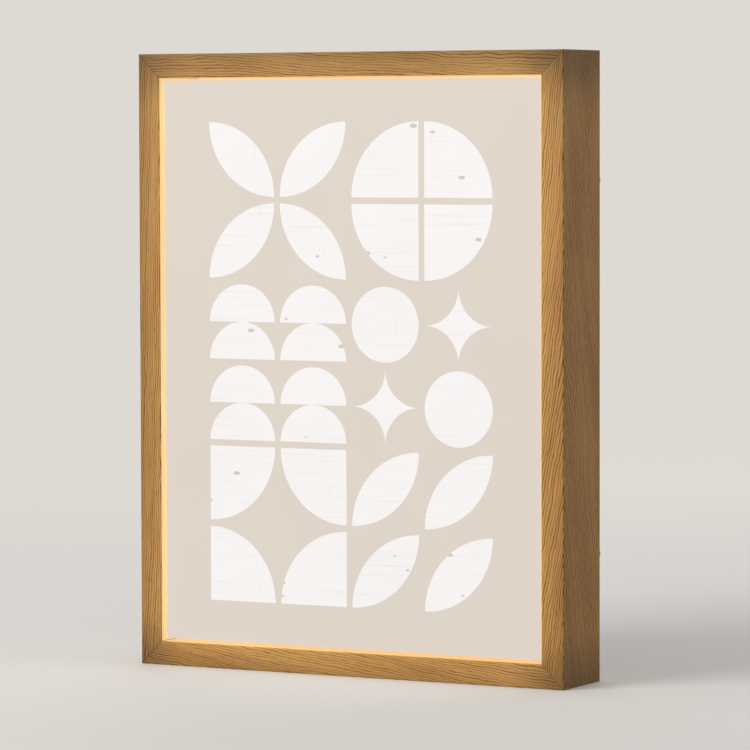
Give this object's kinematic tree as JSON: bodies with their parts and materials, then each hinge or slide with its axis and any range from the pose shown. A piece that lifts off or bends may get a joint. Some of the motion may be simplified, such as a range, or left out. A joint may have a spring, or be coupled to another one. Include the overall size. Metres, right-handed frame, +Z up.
{
  "type": "light box",
  "caption": "Wall-hung light box: a back-lit printed panel floating in a deep mitred oak frame, with light in the slit round it and behind.",
  "frame": {"origin": "middle of the wall rail's rear face, on the wall", "axes": "+X to the viewer's right, +Y into the wall, +Z up"},
  "size_m": [0.338, 0.0686, 0.438],
  "materials": {
    "oak": "oiled oak, satin",
    "beech": "pressed beech",
    "printed_acrylic": "opal acrylic with a matt print",
    "opal_acrylic": "frosted",
    "foam_tape": "closed-cell foam",
    "white_coat": "matt white powder coat",
    "circuit": "white solder mask",
    "warm_light": "lit warm white",
    "grey_coat": "dark grey powder coat",
    "aluminium": "mill finish",
    "zinc_steel": "zinc plated",
    "brass": "brass plated",
    "black_plastic": "moulded, fine texture",
    "white_plastic": "moulded",
    "rubber": "matt",
    "lead_sleeve": "pvc sleeve"
  },
  "bodies": {
    "housing": {"top_rail": "oak", "bottom_rail": "oak", "left_stile": "oak", "right_stile": "oak", "mitre_key_top_left": "beech", "mitre_key_top_right": "beech", "mitre_key_bottom_left": "beech", "mitre_key_bottom_right": "beech", "front_panel": "printed_acrylic", "diffuser_sheet": "opal_acrylic", "panel_tape": "foam_tape", "inner_frame": "white_coat", "reflector_board": "white_coat", "board_screw_1": "zinc_steel", "board_screw_2": "zinc_steel", "board_screw_3": "zinc_steel", "board_screw_4": "zinc_steel", "led_bar_1": "circuit", "led_bar_2": "circuit", "led_bar_3": "circuit", "led_bar_4": "circuit", "led_bar_5": "circuit", "gap_strip_top": "warm_light", "gap_strip_right": "warm_light", "gap_strip_bottom": "warm_light", "gap_strip_left": "warm_light", "halo_strip_top": "warm_light", "halo_strip_right": "warm_light", "halo_strip_bottom": "warm_light", "halo_strip_left": "warm_light", "back_panel": "grey_coat", "button_screw_top_left": "zinc_steel", "button_screw_top_right": "zinc_steel", "button_screw_bottom_left": "zinc_steel", "button_screw_bottom_right": "zinc_steel", "wall_rail": "aluminium", "hook_rail": "aluminium", "hook_screw_left": "zinc_steel", "hook_screw_middle": "zinc_steel", "hook_screw_right": "zinc_steel", "led_driver": "white_plastic", "driver_screw_left": "zinc_steel", "driver_screw_right": "zinc_steel", "terminal_block": "white_plastic", "switch_body": "black_plastic", "power_inlet": "black_plastic", "inlet_lead": "lead_sleeve", "supply_lead": "lead_sleeve", "jumper_lead": "lead_sleeve", "led_lead": "lead_sleeve", "strip_lead": "lead_sleeve", "halo_lead": "lead_sleeve", "bumper_left": "rubber", "bumper_right": "rubber"},
    "button_top_left": {"turn_button_top_left": "brass"},
    "button_top_right": {"turn_button_top_right": "brass"},
    "button_bottom_left": {"turn_button_bottom_left": "brass"},
    "button_bottom_right": {"turn_button_bottom_right": "brass"},
    "switch_rocker": {"rocker": "black_plastic"}
  },
  "joints": [
    {"name": "button_turn_top_left", "type": "hinge", "parent": "housing", "child": "button_top_left", "pos_m": [-0.1635, -0.0097, -0.0473], "axis": [0, 1, 0], "continuous": true},
    {"name": "button_turn_top_right", "type": "hinge", "parent": "housing", "child": "button_top_right", "pos_m": [0.1635, -0.0097, -0.0473], "axis": [0, 1, 0], "continuous": true},
    {"name": "button_turn_bottom_left", "type": "hinge", "parent": "housing", "child": "button_bottom_left", "pos_m": [-0.1635, -0.0097, -0.3073], "axis": [0, 1, 0], "continuous": true},
    {"name": "button_turn_bottom_right", "type": "hinge", "parent": "housing", "child": "button_bottom_right", "pos_m": [0.1635, -0.0097, -0.3073], "axis": [0, 1, 0], "continuous": true},
    {"name": "rocker_tip", "type": "hinge", "parent": "housing", "child": "switch_rocker", "pos_m": [0.09, -0.022, -0.3913], "axis": [0, 1, 0], "range_deg": [0, 18]}
  ]
}
